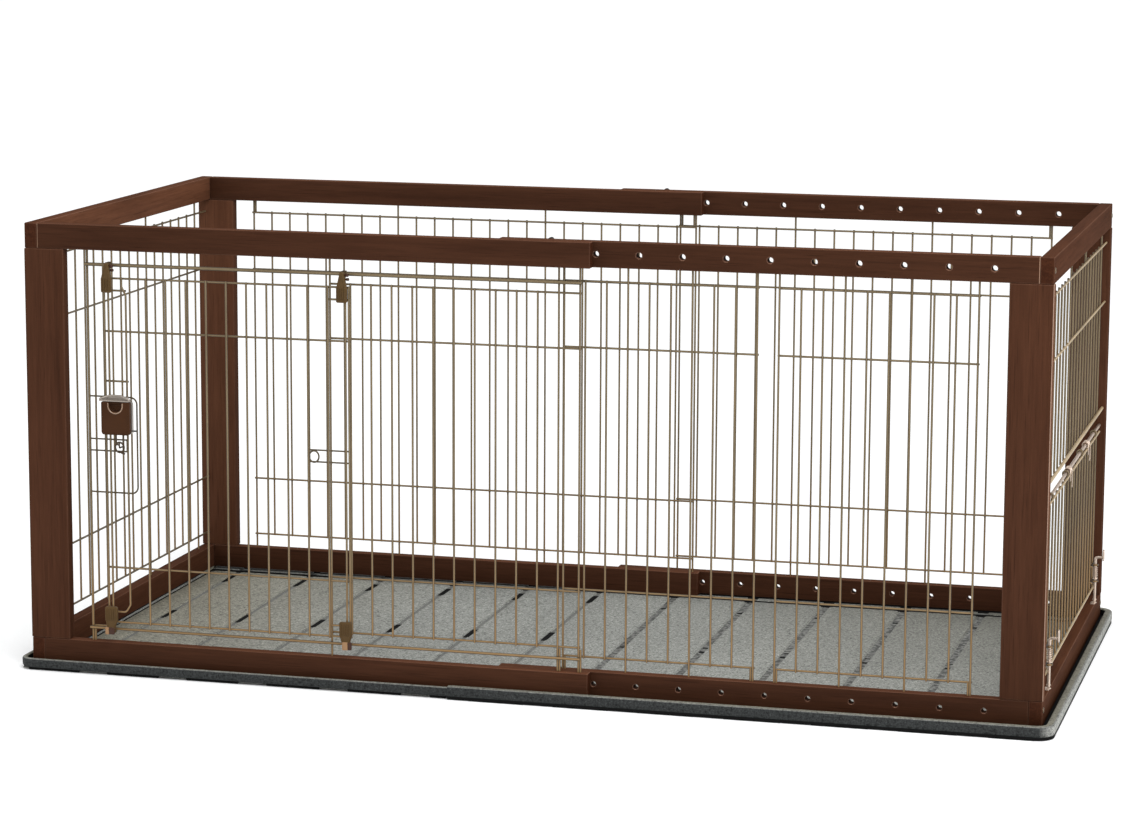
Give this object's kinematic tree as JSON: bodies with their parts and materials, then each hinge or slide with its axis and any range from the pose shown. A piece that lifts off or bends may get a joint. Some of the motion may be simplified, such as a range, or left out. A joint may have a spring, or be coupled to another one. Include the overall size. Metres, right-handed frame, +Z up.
{
  "type": "pet playpen",
  "caption": "Extending pet playpen with dark wood frame, bronze wire panels, a sliding front door, a top-hinged end flap and a nesting moulded floor tray.",
  "frame": {"origin": "bottom centre of the extended pen's bounding box, on the tray's underside", "axes": "+X along the pen from the fixed-length left half to the extending right half, +Y from the front (door side) to the back, +Z up"},
  "size_m": [1.578, 0.806, 0.6863],
  "materials": {
    "dark_wood": "satin lacquer over dark walnut stain",
    "bronze_wire": "metallic bronze powder coat",
    "plated_steel": "bright plated",
    "brown_plastic": "satin moulded",
    "dark_plastic": "semi-gloss moulded",
    "black_plastic": "matte moulded",
    "stone_plastic": "fine granite-fleck moulded texture"
  },
  "bodies": {
    "left_half": {"left_front_top_rail": "dark_wood", "left_front_bottom_rail": "dark_wood", "left_rear_top_rail": "dark_wood", "left_rear_bottom_rail": "dark_wood", "left_end_top_rail": "dark_wood", "left_end_bottom_rail": "dark_wood", "left_front_post": "dark_wood", "left_rear_post": "dark_wood", "left_end_wire_panel": "bronze_wire", "left_rear_wire_panel": "bronze_wire", "left_front_wire_panel": "bronze_wire", "left_floor_tray": "stone_plastic", "left_front_top_screw": "plated_steel", "left_rear_top_screw": "plated_steel", "left_front_bottom_screw": "plated_steel", "left_rear_bottom_screw": "plated_steel"},
    "right_half": {"right_front_top_rail": "dark_wood", "right_front_bottom_rail": "dark_wood", "right_rear_top_rail": "dark_wood", "right_rear_bottom_rail": "dark_wood", "right_end_top_rail": "dark_wood", "right_end_bottom_rail": "dark_wood", "right_front_post": "dark_wood", "right_rear_post": "dark_wood", "right_front_wire_panel_inner": "bronze_wire", "right_front_wire_panel_outer": "bronze_wire", "right_rear_wire_panel": "bronze_wire", "right_end_upper_wire_panel": "bronze_wire", "flap_hinge_rod": "plated_steel", "flap_strike_plate_front": "plated_steel", "flap_strike_plate_rear": "plated_steel", "right_floor_tray": "stone_plastic", "right_front_top_screw": "plated_steel", "right_rear_top_screw": "plated_steel", "right_front_bottom_screw": "plated_steel", "right_rear_bottom_screw": "plated_steel"},
    "front_door": {"front_door_wire_panel": "bronze_wire", "door_hanger_top_left": "brown_plastic", "door_hanger_top_right": "brown_plastic", "door_guide_bottom_left": "brown_plastic", "door_guide_bottom_right": "brown_plastic", "door_latch_plate": "plated_steel"},
    "door_latch": {"door_latch_handle": "dark_plastic", "door_latch_lip": "plated_steel", "door_latch_hook": "plated_steel"},
    "flap_door": {"flap_door_wire_panel": "bronze_wire", "flap_hinge_spring_front": "plated_steel", "flap_hinge_spring_rear": "plated_steel", "flap_bolt_spring_front": "plated_steel", "flap_bolt_spring_rear": "plated_steel"},
    "flap_bolt_front": {"flap_drop_bolt_front": "plated_steel"},
    "flap_bolt_rear": {"flap_drop_bolt_rear": "plated_steel"},
    "lock_nut_front_top": {"front_top_lock_wing_nut": "black_plastic"},
    "lock_nut_front_bottom": {"front_bottom_lock_nut": "black_plastic"},
    "lock_nut_rear_top": {"rear_top_lock_wing_nut": "black_plastic"},
    "lock_nut_rear_bottom": {"rear_bottom_lock_nut": "black_plastic"}
  },
  "joints": [
    {"name": "width_adjust", "type": "slide", "parent": "left_half", "child": "right_half", "axis": [1, 0, 0], "range_m": [-0.64, 0]},
    {"name": "front_door_slide", "type": "slide", "parent": "left_half", "child": "front_door", "axis": [1, 0, 0], "range_m": [0, 0.34]},
    {"name": "latch_lift", "type": "slide", "parent": "front_door", "child": "door_latch", "axis": [0, 0, 1], "range_m": [0, 0.009]},
    {"name": "flap_hinge", "type": "hinge", "parent": "right_half", "child": "flap_door", "pos_m": [0.75995, 0.009, 0.3275], "axis": [0, -1, 0], "range_deg": [0, 150], "stiffness_Nm_per_rad": 0.05},
    {"name": "flap_bolt_front_lift", "type": "slide", "parent": "flap_door", "child": "flap_bolt_front", "axis": [0, 0, 1], "range_m": [0, 0.011], "deforming": ["flap_bolt_spring_front"]},
    {"name": "flap_bolt_rear_lift", "type": "slide", "parent": "flap_door", "child": "flap_bolt_rear", "axis": [0, 0, 1], "range_m": [0, 0.011], "deforming": ["flap_bolt_spring_rear"]},
    {"name": "lock_nut_front_top_turn", "type": "hinge", "parent": "right_half", "child": "lock_nut_front_top", "pos_m": [0.04535, -0.3434, 0.6655], "axis": [0, 1, 0], "continuous": true},
    {"name": "lock_nut_front_bottom_turn", "type": "hinge", "parent": "right_half", "child": "lock_nut_front_bottom", "pos_m": [0.04535, -0.3434, 0.0295], "axis": [0, 1, 0], "continuous": true},
    {"name": "lock_nut_rear_top_turn", "type": "hinge", "parent": "right_half", "child": "lock_nut_rear_top", "pos_m": [0.04535, 0.3873, 0.6655], "axis": [0, 1, 0], "continuous": true},
    {"name": "lock_nut_rear_bottom_turn", "type": "hinge", "parent": "right_half", "child": "lock_nut_rear_bottom", "pos_m": [0.04535, 0.3873, 0.0295], "axis": [0, 1, 0], "continuous": true}
  ]
}
